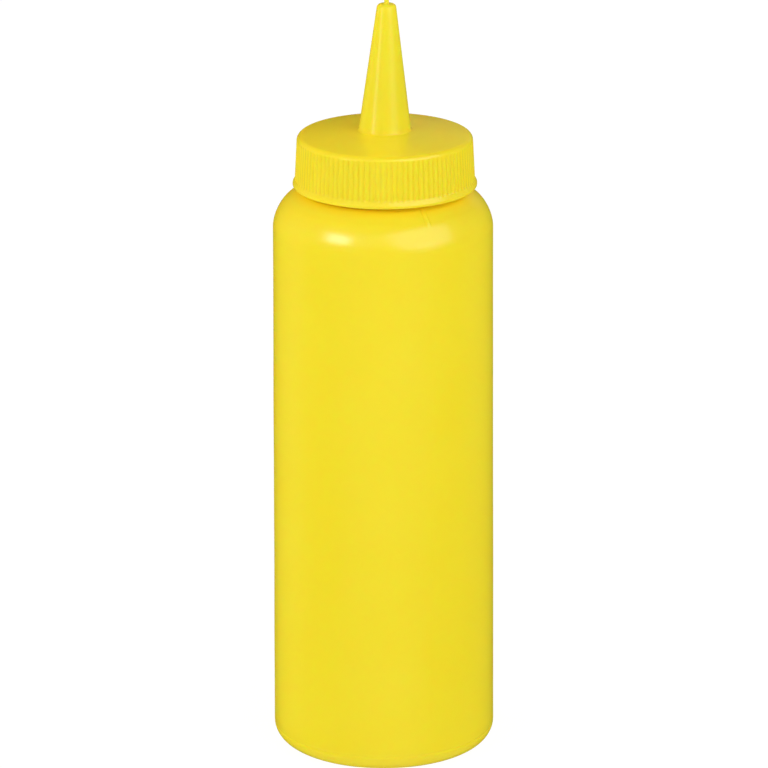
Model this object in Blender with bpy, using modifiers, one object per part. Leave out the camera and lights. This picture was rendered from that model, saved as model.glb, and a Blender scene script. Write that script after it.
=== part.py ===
"""Squeeze bottle for table sauces: a blown round bottle with a one-piece screw cap and cone nozzle."""

import math

import bpy

for held in list(bpy.data.objects):
    bpy.data.objects.remove(held, do_unlink=True)

# Driving dimensions, in metres

BASE_RADIUS = 0.02575
SHOULDER_RADIUS = 0.02525
SHOULDER_START_HEIGHT = 0.1245
SHOULDER_ROUND = 0.0087
BASE_ROUND = 0.0044
STANDING_RING_WIDTH = 0.0020
PUSH_UP_HEIGHT = 0.0024

NECK_RADIUS = 0.0186
NECK_FOOT_HEIGHT = 0.13335
NECK_TOP_HEIGHT = 0.1446
NECK_CHAMFER = 0.0004
FIT_GAP = 0.0003

CAP_BOTTOM_HEIGHT = 0.13465
BEAD_RADIUS = 0.0211
BEAD_ROUND = 0.0006
SKIRT_RADIUS_BOTTOM = 0.0206
SKIRT_RADIUS_TOP = 0.02015
RIM_ROUND = 0.00125
RIM_HEIGHT = 0.14642

RIB_COUNT = 100
RIB_DEPTH = 0.0003
RIB_FOOT_HEIGHT = 0.13635
RIB_HEAD_HEIGHT = 0.14597
RIB_RUN_OUT = 0.0004
RIB_TURN = math.radians(-1.335)

NOZZLE_FOOT_HEIGHT = 0.1477
NOZZLE_FOOT_RADIUS = 0.00588
NOZZLE_FILLET = 0.0008
NOZZLE_TIP_HEIGHT = 0.17687
NOZZLE_TIP_RADIUS = 0.0022
NOZZLE_TIP_ROUND = 0.0006
NOZZLE_ROOT_DEPTH = 0.0012
PIP_RADIUS = 0.00055
PIP_ROUND = 0.0002
PIP_TOP_HEIGHT = 0.1780

BOTTLE_SEGMENTS = 96
NOZZLE_SEGMENTS = 48

parts = bpy.data.collections.new("squeeze_bottle")
bpy.context.scene.collection.children.link(parts)
helpers = bpy.data.collections.new("helpers")
bpy.context.scene.collection.children.link(helpers)


def plastic(name, colour):
    """Material of one moulded piece."""
    material = bpy.data.materials.new(name)
    material.use_nodes = True
    shader = material.node_tree.nodes["Principled BSDF"]
    shader.inputs["Base Color"].default_value = (*colour, 1.0)
    shader.inputs["Roughness"].default_value = 0.35
    shader.inputs["IOR"].default_value = 1.51
    return material


def round_corner(centre, radius, start, end, steps):
    """Points of an arc in the plane of the profile, with its angles in degrees from +X."""
    found = []
    for step in range(steps + 1):
        angle = math.radians(start + (end - start) * step / steps)
        found.append((centre[0] + radius * math.cos(angle), centre[1] + radius * math.sin(angle)))
    return found


def between(first, last, share):
    """Point at a share of the way from one point of a profile to another."""
    return tuple(one + (other - one) * share for one, other in zip(first, last))


def turned(name, profile, segments, collection):
    """Solid of revolution about Z, from a profile of (radius, height) that runs down its outer side."""
    mesh = bpy.data.meshes.new(name)
    points = [(radius, 0.0, height) for radius, height in profile]
    edges = [(index, index + 1) for index in range(len(points) - 1)]
    mesh.from_pydata(points, edges, [])
    piece = bpy.data.objects.new(name, mesh)
    collection.objects.link(piece)
    screw = piece.modifiers.new("turn", "SCREW")
    screw.axis = "Z"
    screw.steps = segments
    screw.render_steps = segments
    screw.use_merge_vertices = True
    screw.merge_threshold = 0.000001
    return piece


# Bottle: neck stub, rounded shoulder, slightly tapered wall, rounded base corner and shallow push-up

shoulder_centre = (SHOULDER_RADIUS - SHOULDER_ROUND, SHOULDER_START_HEIGHT)
corner_centre = (BASE_RADIUS - BASE_ROUND, BASE_ROUND)
wall_top = (SHOULDER_RADIUS, SHOULDER_START_HEIGHT)
wall_foot = (BASE_RADIUS, BASE_ROUND)
ring_inner_radius = corner_centre[0] - STANDING_RING_WIDTH

bottle_profile = [
    (0.0, NECK_TOP_HEIGHT),
    (NECK_RADIUS - NECK_CHAMFER, NECK_TOP_HEIGHT),
    (NECK_RADIUS, NECK_TOP_HEIGHT - NECK_CHAMFER),
    (NECK_RADIUS, NECK_FOOT_HEIGHT),
    *round_corner(shoulder_centre, SHOULDER_ROUND, 63.0, 0.0, 9),
    between(wall_top, wall_foot, 0.25),
    between(wall_top, wall_foot, 0.50),
    between(wall_top, wall_foot, 0.75),
    *round_corner(corner_centre, BASE_ROUND, 0.0, -90.0, 7),
    (ring_inner_radius, 0.0),
    (ring_inner_radius - 0.5 * PUSH_UP_HEIGHT, 0.3 * PUSH_UP_HEIGHT),
    (0.6 * ring_inner_radius, 0.8 * PUSH_UP_HEIGHT),
    (0.0, PUSH_UP_HEIGHT),
]
bottle = turned("bottle", bottle_profile, BOTTLE_SEGMENTS, parts)
bottle.data.materials.append(plastic("blown_polyethylene", (0.88, 0.73, 0.028)))

# Cap: gently rising top, rounded rim, skirt with a bead at its foot, and the recess that takes the neck

rim_centre = (SKIRT_RADIUS_TOP - RIM_ROUND, RIM_HEIGHT - RIM_ROUND)
bead_centre = (BEAD_RADIUS - BEAD_ROUND, CAP_BOTTOM_HEIGHT + BEAD_ROUND)
skirt_foot = (SKIRT_RADIUS_BOTTOM, RIB_FOOT_HEIGHT + RIB_RUN_OUT)
top_centre = (0.0, NOZZLE_FOOT_HEIGHT)
recess_radius = NECK_RADIUS + FIT_GAP
recess_height = NECK_TOP_HEIGHT + FIT_GAP

cap_profile = [
    top_centre,
    (0.75 * NOZZLE_FOOT_RADIUS, NOZZLE_FOOT_HEIGHT),
    (0.66 * rim_centre[0], RIM_HEIGHT + 0.62 * (NOZZLE_FOOT_HEIGHT - RIM_HEIGHT)),
    *round_corner(rim_centre, RIM_ROUND, 90.0, 0.0, 4),
    skirt_foot,
    between(skirt_foot, (BEAD_RADIUS, bead_centre[1]), 0.3),
    *round_corner(bead_centre, BEAD_ROUND, 55.0, -90.0, 5),
    (recess_radius, CAP_BOTTOM_HEIGHT),
    (recess_radius, recess_height),
    (0.0, recess_height),
]
turned_cap = turned("turned_cap", cap_profile, 2 * RIB_COUNT, helpers)

# Ribs: every second column of the skirt is pressed in, less and less where the ribs run out


def rib_share(height):
    """Share of the full rib depth at a height on the skirt."""
    above_foot = (height - RIB_FOOT_HEIGHT) / RIB_RUN_OUT
    below_head = (RIB_HEAD_HEIGHT - height) / (RIB_HEAD_HEIGHT - rim_centre[1])
    return max(0.0, min(1.0, above_foot, below_head))


bpy.context.view_layer.update()
graph = bpy.context.evaluated_depsgraph_get()
cap_mesh = bpy.data.meshes.new_from_object(turned_cap.evaluated_get(graph))
bpy.data.objects.remove(turned_cap, do_unlink=True)
for vertex in cap_mesh.vertices:
    radius = math.hypot(vertex.co.x, vertex.co.y)
    column = round(math.atan2(vertex.co.y, vertex.co.x) / math.pi * RIB_COUNT)
    if radius > recess_radius + FIT_GAP and column % 2:
        pressed = 1.0 - RIB_DEPTH * rib_share(vertex.co.z) / radius
        vertex.co.x *= pressed
        vertex.co.y *= pressed
cap = bpy.data.objects.new("screw_cap", cap_mesh)
cap.rotation_euler.z = RIB_TURN
cap.data.materials.append(plastic("moulded_polyethylene", (0.90, 0.76, 0.035)))
parts.objects.link(cap)

# Nozzle: straight cone with a fillet at its foot, a closed tip, and the pip left on the tip by the mould

tip_centre = (NOZZLE_TIP_RADIUS - NOZZLE_TIP_ROUND, NOZZLE_TIP_HEIGHT - NOZZLE_TIP_ROUND)
fillet_centre = (NOZZLE_FOOT_RADIUS + NOZZLE_FILLET, NOZZLE_FOOT_HEIGHT + NOZZLE_FILLET)
root_height = NOZZLE_FOOT_HEIGHT - NOZZLE_ROOT_DEPTH

nozzle_profile = [
    (0.0, PIP_TOP_HEIGHT),
    *round_corner((PIP_RADIUS - PIP_ROUND, PIP_TOP_HEIGHT - PIP_ROUND), PIP_ROUND, 90.0, 0.0, 2),
    (PIP_RADIUS, NOZZLE_TIP_HEIGHT),
    *round_corner(tip_centre, NOZZLE_TIP_ROUND, 90.0, 8.0, 4),
    *round_corner(fillet_centre, NOZZLE_FILLET, 172.0, 262.0, 3),
    (fillet_centre[0], root_height),
    (0.0, root_height),
]
nozzle = turned("nozzle_cone", nozzle_profile, NOZZLE_SEGMENTS, helpers)
nozzle.hide_render = True
nozzle.display_type = "WIRE"

join = cap.modifiers.new("nozzle", "BOOLEAN")
join.operation = "UNION"
join.solver = "EXACT"
join.object = nozzle

for piece in (bottle, cap):
    piece.data.shade_smooth()
    piece.data.set_sharp_from_angle(angle=math.radians(35.0))
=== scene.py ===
"""Looks of a squeeze bottle for table sauces: a blown yellow bottle and its ribbed screw cap."""

import math

import bmesh
import bpy
from mathutils import Matrix, Vector, noise


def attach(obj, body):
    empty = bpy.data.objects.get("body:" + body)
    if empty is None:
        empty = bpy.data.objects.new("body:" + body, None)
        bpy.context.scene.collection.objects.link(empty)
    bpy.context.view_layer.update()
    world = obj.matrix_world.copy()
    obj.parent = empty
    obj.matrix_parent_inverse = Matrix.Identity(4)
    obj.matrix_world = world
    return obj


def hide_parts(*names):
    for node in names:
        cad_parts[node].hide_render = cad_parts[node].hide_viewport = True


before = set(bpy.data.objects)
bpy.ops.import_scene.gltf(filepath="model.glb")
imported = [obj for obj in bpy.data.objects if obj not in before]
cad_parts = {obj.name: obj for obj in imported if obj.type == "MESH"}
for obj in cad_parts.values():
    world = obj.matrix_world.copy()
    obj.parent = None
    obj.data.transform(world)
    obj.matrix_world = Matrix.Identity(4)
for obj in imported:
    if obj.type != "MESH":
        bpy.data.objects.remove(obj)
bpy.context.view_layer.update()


# Bottle: low-density polyethylene (LDPE), blow-moulded. A hot tube of plastic is blown out
# against a split mould, so the wall is faintly uneven, a thin parting line runs up both sides,
# and the tube's pinched end leaves a seam across the underside. The neck is inside the cap.

NECK_RADIUS = 0.0175
NECK_TOP = 0.1446
NECK_ROUND = 0.0004
NECK_FOOT_ROUND = 0.0003
LAND_RADIUS = 0.0192
LAND_HEIGHT = 0.1340
LAND_ROUND = 0.0004
SHOULDER_CORNER = (0.02523, 0.12875)
SHOULDER_ROUND = 0.0087
SHOULDER_BEND = 0.13
BASE_CORNER_RADIUS = 0.025768
BASE_ROUND = 0.0044
STANDING_RING_INNER = 0.01935
STANDING_RING_ROUND = 0.0006
PUSH_UP_HEIGHT = 0.0024
PUSH_UP_RIM = (0.94 * STANDING_RING_INNER, 0.3 * PUSH_UP_HEIGHT)
PUSH_UP_RIM_ROUND = 0.004
PUSH_UP_CROWN = (0.60 * STANDING_RING_INNER, 0.8 * PUSH_UP_HEIGHT)
PUSH_UP_CROWN_ROUND = 0.02
WALL_ROWS = 60
SHOULDER_ROWS = 16
BOTTLE_COLUMNS = 360
COLUMN_CROWDING = 0.75

# The relief of the skin leaves out the pole, the hidden neck and the flat of the standing ring,
# and it fades in over the lowest 10 mm. The waves lie mostly inside the smooth wall.
POLE_RADIUS = 0.001
HIDDEN_RIM = 0.0002
RING_HEIGHT = 0.0005
RING_RADIUS = 0.022
RELIEF_FADE = (0.0, 0.01)
WALL_UNEVENNESS = 0.00004
WALL_INSET_SHARE = 0.2
WALL_WAVE_LENGTH = 0.018

# The parting line is a raised strip with a shallow groove on both sides. It shows on the
# shoulder, and only a trace of it is left on the wall.
PARTING_AZIMUTH = math.radians(27.0)
PARTING_FLAT = 0.00030
PARTING_FOOT = 0.00058
PARTING_RISE = 0.00013
PARTING_GROOVE = 0.00030
PARTING_GROOVE_SHARE = 0.8
PARTING_ENDS = (0.1303, 0.1312)
PARTING_WALL_SHARE = 0.06

# The edge of the mould's base insert leaves a fine line round the heel.
HEEL_LINE = 0.00411
HEEL_REACH = 0.00029
HEEL_DEPTH = 0.00010

SEAM_HALF_LENGTH = 0.0150
SEAM_RUN_OUT = 0.003
SEAM_WIDTH = 0.0009
SEAM_DEPTH = 0.0004
SEAM_LOWEST = 0.0002

WEDGES = 12
MERGE_DISTANCE = 0.0000005
SHARP_FROM = math.radians(40.0)


def outline(mesh, corners):
    """Draws half the outline of a turned piece in XZ, from (radius, height, rounding, steps)."""
    points = [mesh.verts.new((radius, 0.0, height)) for radius, height, _, _ in corners]
    for pair in zip(points, points[1:]):
        mesh.edges.new(pair)
    places = [point.co.copy() for point in points]
    for index, (_, _, rounding, steps) in enumerate(corners):
        if rounding:
            turn = (places[index] - places[index - 1]).angle(places[index + 1] - places[index])
            bmesh.ops.bevel(
                mesh, geom=[points[index]], offset=rounding * math.tan(turn / 2),
                offset_type="OFFSET", segments=steps, profile=0.5, affect="VERTICES", material=-1,
            )


def divide(mesh, low, high, rows):
    """Divides the tallest straight run of an outline between two heights into rows."""
    tallest = max(
        (edge for edge in mesh.edges if all(low <= vert.co.z <= high for vert in edge.verts)),
        key=lambda edge: abs(edge.verts[0].co.z - edge.verts[1].co.z),
    )
    bmesh.ops.subdivide_edges(mesh, edges=[tallest], cuts=rows - 1)


def turn_round(mesh, columns):
    """Spins an outline once round the upright axis, into a closed skin that faces outwards."""
    upright = {"cent": (0, 0, 0), "axis": (0, 0, 1), "dvec": (0, 0, 0)}
    bmesh.ops.spin(
        mesh, geom=mesh.verts[:] + mesh.edges[:],
        angle=math.tau / WEDGES, steps=columns // WEDGES, **upright,
    )
    bmesh.ops.spin(
        mesh, geom=mesh.verts[:] + mesh.edges[:] + mesh.faces[:],
        angle=math.tau * (WEDGES - 1) / WEDGES, steps=WEDGES - 1, use_duplicate=True, **upright,
    )
    bmesh.ops.remove_doubles(mesh, verts=mesh.verts, dist=MERGE_DISTANCE)
    bmesh.ops.recalc_face_normals(mesh, faces=mesh.faces)


def crowd_columns(mesh, crowding):
    """Draws the columns of a turned piece together at its first column and opposite it."""
    for vert in mesh.verts:
        angle = math.atan2(vert.co.y, vert.co.x)
        vert.co.rotate(Matrix.Rotation(-0.5 * crowding * math.sin(2.0 * angle), 3, "Z"))


def push_out(vert, depth):
    """Moves a point of a turned piece away from the axis, or inwards by a negative depth."""
    away = Vector((vert.co.x, vert.co.y, 0.0))
    vert.co += away.normalized() * depth


def fade(value, start, end):
    """Goes smoothly from 0 at start to 1 at end."""
    share = max(0.0, min(1.0, (value - start) / (end - start)))
    return share * share * (3.0 - 2.0 * share)


def finished(mesh, name, material, turned_to):
    """Makes the piece of a bmesh, with its first column turned to an azimuth from the front."""
    turn = Matrix.Rotation(turned_to - math.pi / 2, 3, "Z")
    bmesh.ops.rotate(mesh, verts=mesh.verts, cent=(0, 0, 0), matrix=turn)
    data = bpy.data.meshes.new(name)
    mesh.to_mesh(data)
    mesh.free()
    data.shade_smooth()
    data.set_sharp_from_angle(angle=SHARP_FROM)
    data.materials.append(material)
    piece = bpy.data.objects.new(name, data)
    bpy.context.scene.collection.objects.link(piece)
    return piece


def tone(code):
    """sRGB hex code as a linear colour."""
    channels = [int(code[start : start + 2], 16) / 255 for start in (0, 2, 4)]
    linear = [c / 12.92 if c <= 0.04045 else ((c + 0.055) / 1.055) ** 2.4 for c in channels]
    return (*linear, 1.0)


def add(tree, kind, links=(), **settings):
    """Adds a node. Settings are its properties or inputs, and links are (input, socket) pairs."""
    node = tree.nodes.new(kind)
    for key, value in settings.items():
        if hasattr(node, key):
            setattr(node, key, value)
        else:
            node.inputs[key.replace("_", " ")].default_value = value
    for key, socket in links:
        tree.links.new(socket, node.inputs[key])
    return node


def new_ldpe(name, yellows, drift_scale, haze, peel_scale, peel_height):
    """Opaque polyethylene that light enters by a millimetre or so, and red light deepest.

    Its yellow and its haze drift a little from place to place, and its skin has the mould's
    orange peel. Gives the material, the drifting yellow and the height on the piece.
    """
    material = bpy.data.materials.new(name)
    material.use_nodes = True
    tree = material.node_tree
    plastic = tree.nodes["Principled BSDF"]
    plastic.inputs["IOR"].default_value = 1.51
    plastic.inputs["Subsurface Weight"].default_value = 0.5
    plastic.inputs["Subsurface Radius"].default_value = (1.0, 0.4, 0.06)
    plastic.inputs["Subsurface Scale"].default_value = 0.0025
    place = add(tree, "ShaderNodeTexCoord").outputs["Object"]
    drift = add(
        tree, "ShaderNodeTexNoise", [("Vector", place)],
        Scale=drift_scale, Detail=2.0, Roughness=0.5,
    )
    pigment = add(tree, "ShaderNodeMix", [("Factor", drift.outputs["Fac"])], data_type="RGBA")
    pigment.inputs[6].default_value = tone(yellows[0])
    pigment.inputs[7].default_value = tone(yellows[1])
    clouding = add(
        tree, "ShaderNodeMapRange", [("Value", drift.outputs["Fac"])],
        To_Min=haze[0], To_Max=haze[1],
    )
    tree.links.new(clouding.outputs["Result"], plastic.inputs["Roughness"])
    peel = add(
        tree, "ShaderNodeTexNoise", [("Vector", place)],
        Scale=peel_scale, Detail=2.0, Roughness=0.55,
    )
    skin = add(
        tree, "ShaderNodeBump", [("Height", peel.outputs["Fac"])],
        Strength=0.5, Distance=peel_height,
    )
    tree.links.new(skin.outputs["Normal"], plastic.inputs["Normal"])
    axes = add(tree, "ShaderNodeSeparateXYZ", [("Vector", place)])
    return material, pigment.outputs[2], axes.outputs["Z"]


# The finish is semi-gloss and a little waxy: soft-edged highlights over an opaque warm yellow.
# Wall thickness shifts the yellow by a hair over 15 mm, a noise scale of 70 per metre, and the
# mould's blasted face leaves a fine orange peel of 0.7 mm, 1400 per metre. On the shoulder under
# the cap a deeper yellow is painted in: painted shade, for the shadowed slot under the cap. The
# haze is a roughness, and both pieces keep it under 0.27, because the denoiser takes rougher
# plastic for matt and would draw the change as a line.

WALL_YELLOWS = ("F9E028", "FBE42F")
THICKNESS_SCALE = 70.0
BLOWN_HAZE = (0.20, 0.26)
BLOWN_PEEL_SCALE = 1400.0
BLOWN_PEEL_HEIGHT = 0.00001
# Painted shade: a deeper yellow on the shoulder just under the cap, where the slot lies in shade.
UNDER_CAP_PAINTED_SHADE = "FFD414"
UNDER_CAP_SHADE_FROM = 0.1321

blown_ldpe, wall_yellow, wall_height = new_ldpe(
    "blow_moulded_ldpe", WALL_YELLOWS, THICKNESS_SCALE,
    BLOWN_HAZE, BLOWN_PEEL_SCALE, BLOWN_PEEL_HEIGHT,
)
tree = blown_ldpe.node_tree
# Mask of the painted shade under the cap, rising from nothing to full towards the land.
under_cap_shade_mask = add(
    tree, "ShaderNodeMapRange", [("Value", wall_height)],
    From_Min=UNDER_CAP_SHADE_FROM, From_Max=LAND_HEIGHT,
)
wall_yellow_with_painted_shade = add(
    tree, "ShaderNodeMix",
    [("Factor", under_cap_shade_mask.outputs["Result"]), (6, wall_yellow)], data_type="RGBA",
)
wall_yellow_with_painted_shade.inputs[7].default_value = tone(UNDER_CAP_PAINTED_SHADE)
tree.links.new(wall_yellow_with_painted_shade.outputs[2], tree.nodes["Principled BSDF"].inputs["Base Color"])

mesh = bmesh.new()
outline(mesh, [
    (0.0, NECK_TOP, 0.0, 0),
    (NECK_RADIUS, NECK_TOP, NECK_ROUND, 4),
    (NECK_RADIUS, LAND_HEIGHT, NECK_FOOT_ROUND, 3),
    (LAND_RADIUS, LAND_HEIGHT, LAND_ROUND, 4),
    (*SHOULDER_CORNER, SHOULDER_ROUND, 24),
    (BASE_CORNER_RADIUS, 0.0, BASE_ROUND, 48),
    (STANDING_RING_INNER, 0.0, STANDING_RING_ROUND, 4),
    (*PUSH_UP_RIM, PUSH_UP_RIM_ROUND, 5),
    (*PUSH_UP_CROWN, PUSH_UP_CROWN_ROUND, 6),
    (0.0, PUSH_UP_HEIGHT, 0.0, 0),
])
divide(mesh, 0.0, SHOULDER_BEND, WALL_ROWS)
divide(mesh, SHOULDER_BEND, LAND_HEIGHT, SHOULDER_ROWS)
turn_round(mesh, BOTTLE_COLUMNS)
crowd_columns(mesh, COLUMN_CROWDING)
for vert in mesh.verts:
    radius = math.hypot(vert.co.x, vert.co.y)
    if radius < POLE_RADIUS or vert.co.z > LAND_HEIGHT - HIDDEN_RIM:
        continue
    height = vert.co.z
    beside = abs(vert.co.y)
    if height > RING_HEIGHT or radius > RING_RADIUS:
        wave = noise.noise(vert.co / WALL_WAVE_LENGTH)
        strip = fade(beside, PARTING_FOOT, PARTING_FLAT)
        groove = PARTING_GROOVE_SHARE * fade(abs(beside - PARTING_FOOT), PARTING_GROOVE, 0.0)
        rise = PARTING_WALL_SHARE + (1.0 - PARTING_WALL_SHARE) * fade(height, *PARTING_ENDS)
        parting = PARTING_RISE * rise * (strip - groove)
        unevenness = WALL_UNEVENNESS * (WALL_INSET_SHARE + wave)
        push_out(vert, fade(height, *RELIEF_FADE) * (parting - unevenness))
        push_out(vert, -HEEL_DEPTH * fade(abs(height - HEEL_LINE), HEEL_REACH, 0.0))
    if radius < STANDING_RING_INNER and height > SEAM_LOWEST:
        across = fade(beside, SEAM_WIDTH, 0.0)
        along = fade(abs(vert.co.x), SEAM_HALF_LENGTH, SEAM_HALF_LENGTH - SEAM_RUN_OUT)
        vert.co.z -= SEAM_DEPTH * across * along
bottle = finished(mesh, "blown_bottle", blown_ldpe, PARTING_AZIMUTH)
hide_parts("bottle")
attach(bottle, "root")


# Screw cap: one injection-moulded piece of LDPE, with a hundred grip ribs, a faintly domed top
# and a cone nozzle that is still closed, with the pip of the moulding gate on its tip. It is
# screwed down over the neck, a little off centre, and the thin nozzle leans to the same side.

CAP_BOTTOM = 0.13457
BEAD_RADIUS = 0.0211
BEAD_TOP = 0.13525
BEAD_ROUND = 0.0003
SKIRT_FOOT = (0.0206, 0.1362)
SKIRT_FOOT_ROUND = 0.0010
RIM_CORNER = (0.020091, 0.146269)
RIM_ROUND = 0.00125
DOME_POINT = (0.0125, 0.14723)
DOME_ROUND = 0.08
NOZZLE_FOOT = (0.0060, 0.14762)
NOZZLE_FILLET = 0.0005
NOZZLE_TIP = (0.002125, 0.17705)
NOZZLE_TIP_ROUND = 0.0009
PIP_RADIUS = 0.00055
PIP_TOP = 0.1780
PIP_ROUND = 0.0002
PIP_FOOT_ROUND = 0.00015
RECESS_RADIUS = 0.0189
RECESS_TOP = 0.1449
RECESS_EDGE_ROUND = 0.0002
RECESS_TOP_ROUND = 0.0006
RECESS_MARGIN = 0.0004
SKIRT_ROWS = 24
NOZZLE_ROWS = 14

NOZZLE_LEAN = 0.00045
CAP_OFFSET = 0.00046

RIB_COUNT = 100
COLUMNS_PER_RIB = 6
RIB_DEPTH = 0.00020
RIB_AZIMUTH = math.radians(-1.08)
RIB_FOOT = (0.13590, 0.13630)
RIB_HEAD = (0.14580, 0.14480)

# The finish is that of the bottle, from a smoother mould: a finer peel of 0.55 mm, 1800 per
# metre. The plastic's flow shifts the yellow by a hair over 8 mm, 120 per metre. The solid nozzle
# is painted a little greener than the skirt, a painted sheen that stands in for the light on it,
# and the grooves between the ribs are painted a shade deeper, as painted shade in the grooves.

FLOW_YELLOWS = ("FDDF29", "FFE42F")
FLOW_SCALE = 120.0
MOULDED_HAZE = (0.21, 0.26)
MOULDED_PEEL_SCALE = 1800.0
MOULDED_PEEL_HEIGHT = 0.000004
# Painted sheen: the nozzle's greener yellow stands in for how the lamps' light falls on it.
NOZZLE_PAINTED_SHEEN = "F2E42F"
NOZZLE_SHEEN_BLEND = 0.0015
# Painted shade: the grooves between the ribs get a deeper yellow, as the shade that lies in them.
GROOVE_PAINTED_SHADE = "FADC28"

moulded_ldpe, flow_yellow, cap_height = new_ldpe(
    "injection_moulded_ldpe", FLOW_YELLOWS, FLOW_SCALE,
    MOULDED_HAZE, MOULDED_PEEL_SCALE, MOULDED_PEEL_HEIGHT,
)
tree = moulded_ldpe.node_tree
# Mask of the nozzle's painted sheen, from the nozzle's foot upwards.
nozzle_sheen_mask = add(
    tree, "ShaderNodeMapRange", [("Value", cap_height)],
    From_Min=NOZZLE_FOOT[1], From_Max=NOZZLE_FOOT[1] + NOZZLE_SHEEN_BLEND,
)
yellow_with_nozzle_sheen = add(
    tree, "ShaderNodeMix",
    [("Factor", nozzle_sheen_mask.outputs["Result"]), (6, flow_yellow)], data_type="RGBA",
)
yellow_with_nozzle_sheen.inputs[7].default_value = tone(NOZZLE_PAINTED_SHEEN)
# The grooves' painted shade is mixed in over the yellow, by how deep in a groove each point lies.
groove_shade_mask = add(tree, "ShaderNodeAttribute", attribute_name="groove")
cap_yellow_with_painted_sheen_and_shade = add(
    tree, "ShaderNodeMix",
    [("Factor", groove_shade_mask.outputs["Fac"]), (6, yellow_with_nozzle_sheen.outputs[2])], data_type="RGBA",
)
cap_yellow_with_painted_sheen_and_shade.inputs[7].default_value = tone(GROOVE_PAINTED_SHADE)
tree.links.new(cap_yellow_with_painted_sheen_and_shade.outputs[2], tree.nodes["Principled BSDF"].inputs["Base Color"])

mesh = bmesh.new()
outline(mesh, [
    (0.0, PIP_TOP, 0.0, 0),
    (PIP_RADIUS, PIP_TOP, PIP_ROUND, 4),
    (PIP_RADIUS, NOZZLE_TIP[1], PIP_FOOT_ROUND, 3),
    (*NOZZLE_TIP, NOZZLE_TIP_ROUND, 8),
    (*NOZZLE_FOOT, NOZZLE_FILLET, 8),
    (*DOME_POINT, DOME_ROUND, 8),
    (*RIM_CORNER, RIM_ROUND, 12),
    (*SKIRT_FOOT, SKIRT_FOOT_ROUND, 4),
    (BEAD_RADIUS, BEAD_TOP, BEAD_ROUND, 4),
    (BEAD_RADIUS, CAP_BOTTOM, BEAD_ROUND, 8),
    (RECESS_RADIUS, CAP_BOTTOM, RECESS_EDGE_ROUND, 2),
    (RECESS_RADIUS, RECESS_TOP, RECESS_TOP_ROUND, 3),
    (0.0, RECESS_TOP, 0.0, 0),
])
divide(mesh, NOZZLE_FOOT[1], NOZZLE_TIP[1], NOZZLE_ROWS)
divide(mesh, SKIRT_FOOT[1], RIM_CORNER[1], SKIRT_ROWS)
turn_round(mesh, RIB_COUNT * COLUMNS_PER_RIB)
lean_side = Matrix.Rotation(math.pi / 2 - RIB_AZIMUTH, 3, "Z") @ Vector((1.0, 0.0, 0.0))
nozzle_height = NOZZLE_TIP[1] - NOZZLE_FOOT[1]
# Each point's share of the groove sets both the ribs' depth and the painted shade in the grooves.
groove_and_painted_shade = mesh.verts.layers.float.new("groove")
for vert in mesh.verts:
    radius = math.hypot(vert.co.x, vert.co.y)
    if vert.co.z > NOZZLE_FOOT[1] and radius < NOZZLE_FOOT[0]:
        vert.co += lean_side * NOZZLE_LEAN * (vert.co.z - NOZZLE_FOOT[1]) / nozzle_height
    if radius < RECESS_RADIUS + RECESS_MARGIN:
        continue
    ribbed = fade(vert.co.z, *RIB_FOOT) * fade(vert.co.z, *RIB_HEAD)
    valley = 1.0 - abs(math.cos(RIB_COUNT / 2 * math.atan2(vert.co.y, vert.co.x)))
    vert[groove_and_painted_shade] = ribbed * valley
    push_out(vert, -RIB_DEPTH * vert[groove_and_painted_shade])
bmesh.ops.translate(mesh, verts=mesh.verts, vec=lean_side * CAP_OFFSET)
cap = finished(mesh, "ribbed_screw_cap", moulded_ldpe, RIB_AZIMUTH)
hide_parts("screw_cap")
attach(cap, "root")


# Floor: a matt white table top, a hair below the standing ring. It glows, to look as white as
# the room, and it casts nothing on the bottle: the room lights that from below as well, as the
# white sheet under it would.

FLOOR_RADIUS = 4.0
FLOOR_SIDES = 96
FLOOR_CLEARANCE = 0.0001
FLOOR_GREY = (0.10, 0.10, 0.10, 1.0)
FLOOR_GLOW = 0.94
WHITE = (1.0, 1.0, 1.0, 1.0)

white_paint = bpy.data.materials.new("matt_white_table")
white_paint.use_nodes = True
paint = white_paint.node_tree.nodes["Principled BSDF"]
paint.inputs["Base Color"].default_value = FLOOR_GREY
paint.inputs["Roughness"].default_value = 1.0
paint.inputs["Specular IOR Level"].default_value = 0.0
paint.inputs["Emission Color"].default_value = WHITE
paint.inputs["Emission Strength"].default_value = FLOOR_GLOW
mesh = bmesh.new()
bmesh.ops.create_circle(
    mesh, cap_ends=True, segments=FLOOR_SIDES, radius=FLOOR_RADIUS,
    matrix=Matrix.Translation((0.0, 0.0, -FLOOR_CLEARANCE)),
)
floor = finished(mesh, "table_top", white_paint, 0.0)
floor.visible_diffuse = False
floor.visible_glossy = False
floor.visible_shadow = False


# Light: a white room that is dim in reflections, two windows in front, sheets behind and below,
# and cards that only show as highlights on the shoulder, the cap's top and the nozzle.

# The room's shade for matt surfaces goes from straight down, 0, to straight up, 1: a white
# sheet below, a dim floor round it, brighter walls and a dark ceiling.
ROOM_SHADES = (
    (0.17, 1.0), (0.25, 0.055), (0.48, 0.055), (0.53, 0.282), (0.80, 0.373), (0.98, 0.0),
)
ROOM_BRIGHTEST = 1.22
ROOM_MIRRORED = 0.03
ROOM_SEEN = 1.0

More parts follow.
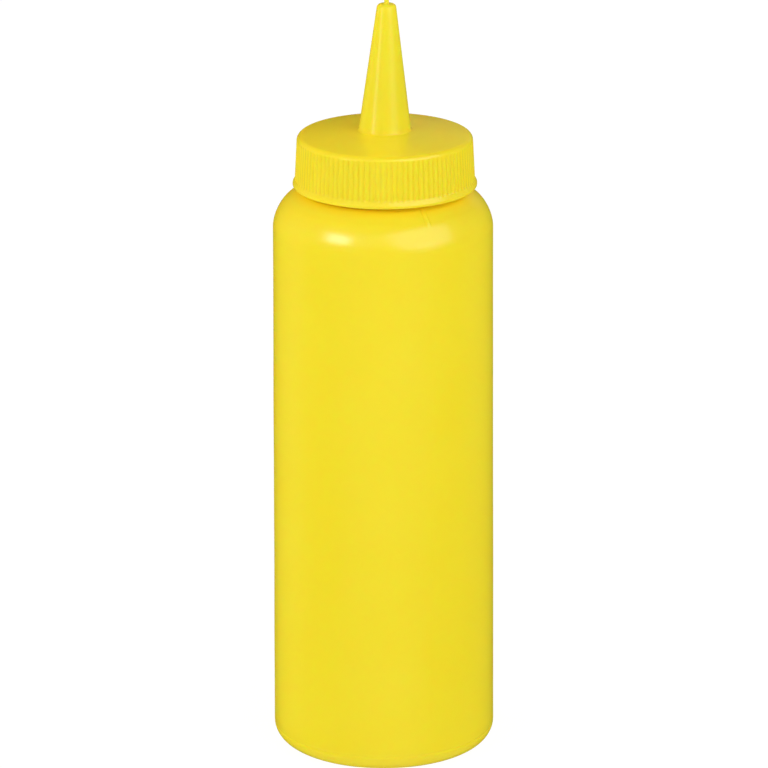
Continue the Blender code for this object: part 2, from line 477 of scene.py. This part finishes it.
scene = bpy.context.scene
scene.view_settings.view_transform = "Standard"
room = bpy.data.worlds.new("white_room")
room.use_nodes = True
scene.world = room
tree = room.node_tree
sky = tree.nodes["Background"]
path = add(tree, "ShaderNodeLightPath")
direction = add(tree, "ShaderNodeTexCoord").outputs["Generated"]
upward = add(tree, "ShaderNodeSeparateXYZ", [("Vector", direction)])
level = add(
    tree, "ShaderNodeMapRange", [("Value", upward.outputs["Z"])], From_Min=-1.0, From_Max=1.0,
)
shades = add(tree, "ShaderNodeValToRGB", [("Fac", level.outputs["Result"])])
stops = shades.color_ramp.elements
for index, (position, grey) in enumerate(ROOM_SHADES):
    stop = stops[index] if index < 2 else stops.new(position)
    stop.position, stop.color = position, (grey, grey, grey, 1.0)
scattered = add(tree, "ShaderNodeMath", [(0, shades.outputs["Color"])], operation="MULTIPLY")
scattered.inputs[1].default_value = ROOM_BRIGHTEST
cast = add(
    tree, "ShaderNodeMix",
    [("Factor", path.outputs["Is Glossy Ray"]), (2, scattered.outputs["Value"])],
    data_type="FLOAT",
)
cast.inputs[3].default_value = ROOM_MIRRORED
strength = add(
    tree, "ShaderNodeMix",
    [("Factor", path.outputs["Is Camera Ray"]), (2, cast.outputs[0])], data_type="FLOAT",
)
strength.inputs[3].default_value = ROOM_SEEN
tree.links.new(strength.outputs[0], sky.inputs["Strength"])
sky.inputs["Color"].default_value = WHITE

LIT_POINT = Vector((0.0, 0.0, 0.14))
LAMP_DISTANCE = 1.1
WARM = (1.0, 0.5, 0.1)


def toward(azimuth, elevation):
    """Unit vector from the bottle, with azimuth from the front towards the right, in degrees."""
    a, e = math.radians(azimuth), math.radians(elevation)
    return Vector((math.sin(a) * math.cos(e), -math.cos(a) * math.cos(e), math.sin(e)))


def softbox(name, azimuth, elevation, width, height, brightness, diffuse, glossy, only=None):
    """Soft light that faces the bottle, for matt scattering, reflections or one piece only."""
    data = bpy.data.lights.new(name, "AREA")
    data.shape = "RECTANGLE"
    data.size, data.size_y = width, height
    data.energy = brightness * math.pi * width * height
    lamp = bpy.data.objects.new(name, data)
    away = toward(azimuth, elevation)
    lamp.location = LIT_POINT + away * LAMP_DISTANCE
    lamp.rotation_mode = "QUATERNION"
    lamp.rotation_quaternion = away.to_track_quat("Z", "Y")
    lamp.visible_camera = False
    lamp.visible_diffuse = diffuse
    lamp.visible_glossy = glossy
    if only:
        lamp.light_linking.receiver_collection = bpy.data.collections.new(name + "_receivers")
        lamp.light_linking.receiver_collection.objects.link(only)
    scene.collection.objects.link(lamp)
    return data


# Azimuth and elevation in degrees, width and height in metres, brightness, whether it lights
# matt surfaces, and whether it shows in reflections.
softbox("left_window", -50.0, 26.0, 1.10, 0.90, 1.86, True, False)
softbox("left_wall", -50.0, 26.0, 1.10, 0.90, 0.55, False, True)
softbox("left_window_shine", -50.0, 24.5, 0.46, 0.34, 7.6, False, True, only=bottle)
softbox("right_window", 46.0, 30.0, 1.30, 0.95, 1.86, True, True)
softbox("ceiling", 0.0, 85.0, 1.60, 1.60, 0.16, True, False)
softbox("left_card", -52.0, 8.0, 0.24, 0.65, 2.3, False, True, only=cap)
softbox("right_card", 45.0, 5.0, 0.60, 0.50, 0.7, False, True)
softbox("front_card", 0.0, 29.0, 0.90, 0.50, 0.45, False, True)
softbox("back_left_sheet", -116.0, 0.0, 1.00, 1.00, 1.9, True, False)
softbox("back_left_glow", -140.0, 45.0, 1.00, 0.80, 1.1, True, False).color = WARM
softbox("back_right_sheet", 122.0, 0.0, 1.00, 1.00, 1.3, True, False)
softbox("back_window_shine", 176.0, 27.0, 0.50, 0.45, 3.0, False, True, only=bottle)
softbox("back_sheet", 166.0, 0.0, 1.20, 1.00, 0.85, True, False)
softbox("back_right_card", 162.0, 18.0, 0.70, 0.60, 0.12, False, True)
softbox("front_sheet", 0.0, -20.0, 1.80, 0.70, 0.74, True, False)


# Camera: a long lens a little above the cap, as in the photograph. Its focal length is in
# pixels of the picture, and its roll is that of the picture.

AIM = Vector((0.00016, 0.0, 0.08661))
DISTANCE = 1.300
ELEVATION = 17.834
ROLL = math.radians(-0.12)
SENSOR_WIDTH = 36.0
FOCAL_LENGTH_IN_PIXELS = 5621.6
PICTURE_WIDTH_IN_PIXELS = 768
NEAREST, FARTHEST = 0.05, 50.0

camera = bpy.data.objects.new("camera", bpy.data.cameras.new("camera"))
camera.data.sensor_width = SENSOR_WIDTH
camera.data.lens = SENSOR_WIDTH * FOCAL_LENGTH_IN_PIXELS / PICTURE_WIDTH_IN_PIXELS
camera.data.clip_start, camera.data.clip_end = NEAREST, FARTHEST
back = toward(0.0, ELEVATION)
facing = back.to_track_quat("Z", "Y").to_matrix()
camera.location = AIM + back * DISTANCE
camera.rotation_mode = "QUATERNION"
camera.rotation_quaternion = (Matrix.Rotation(ROLL, 3, back) @ facing).to_quaternion()
scene.collection.objects.link(camera)
scene.camera = camera
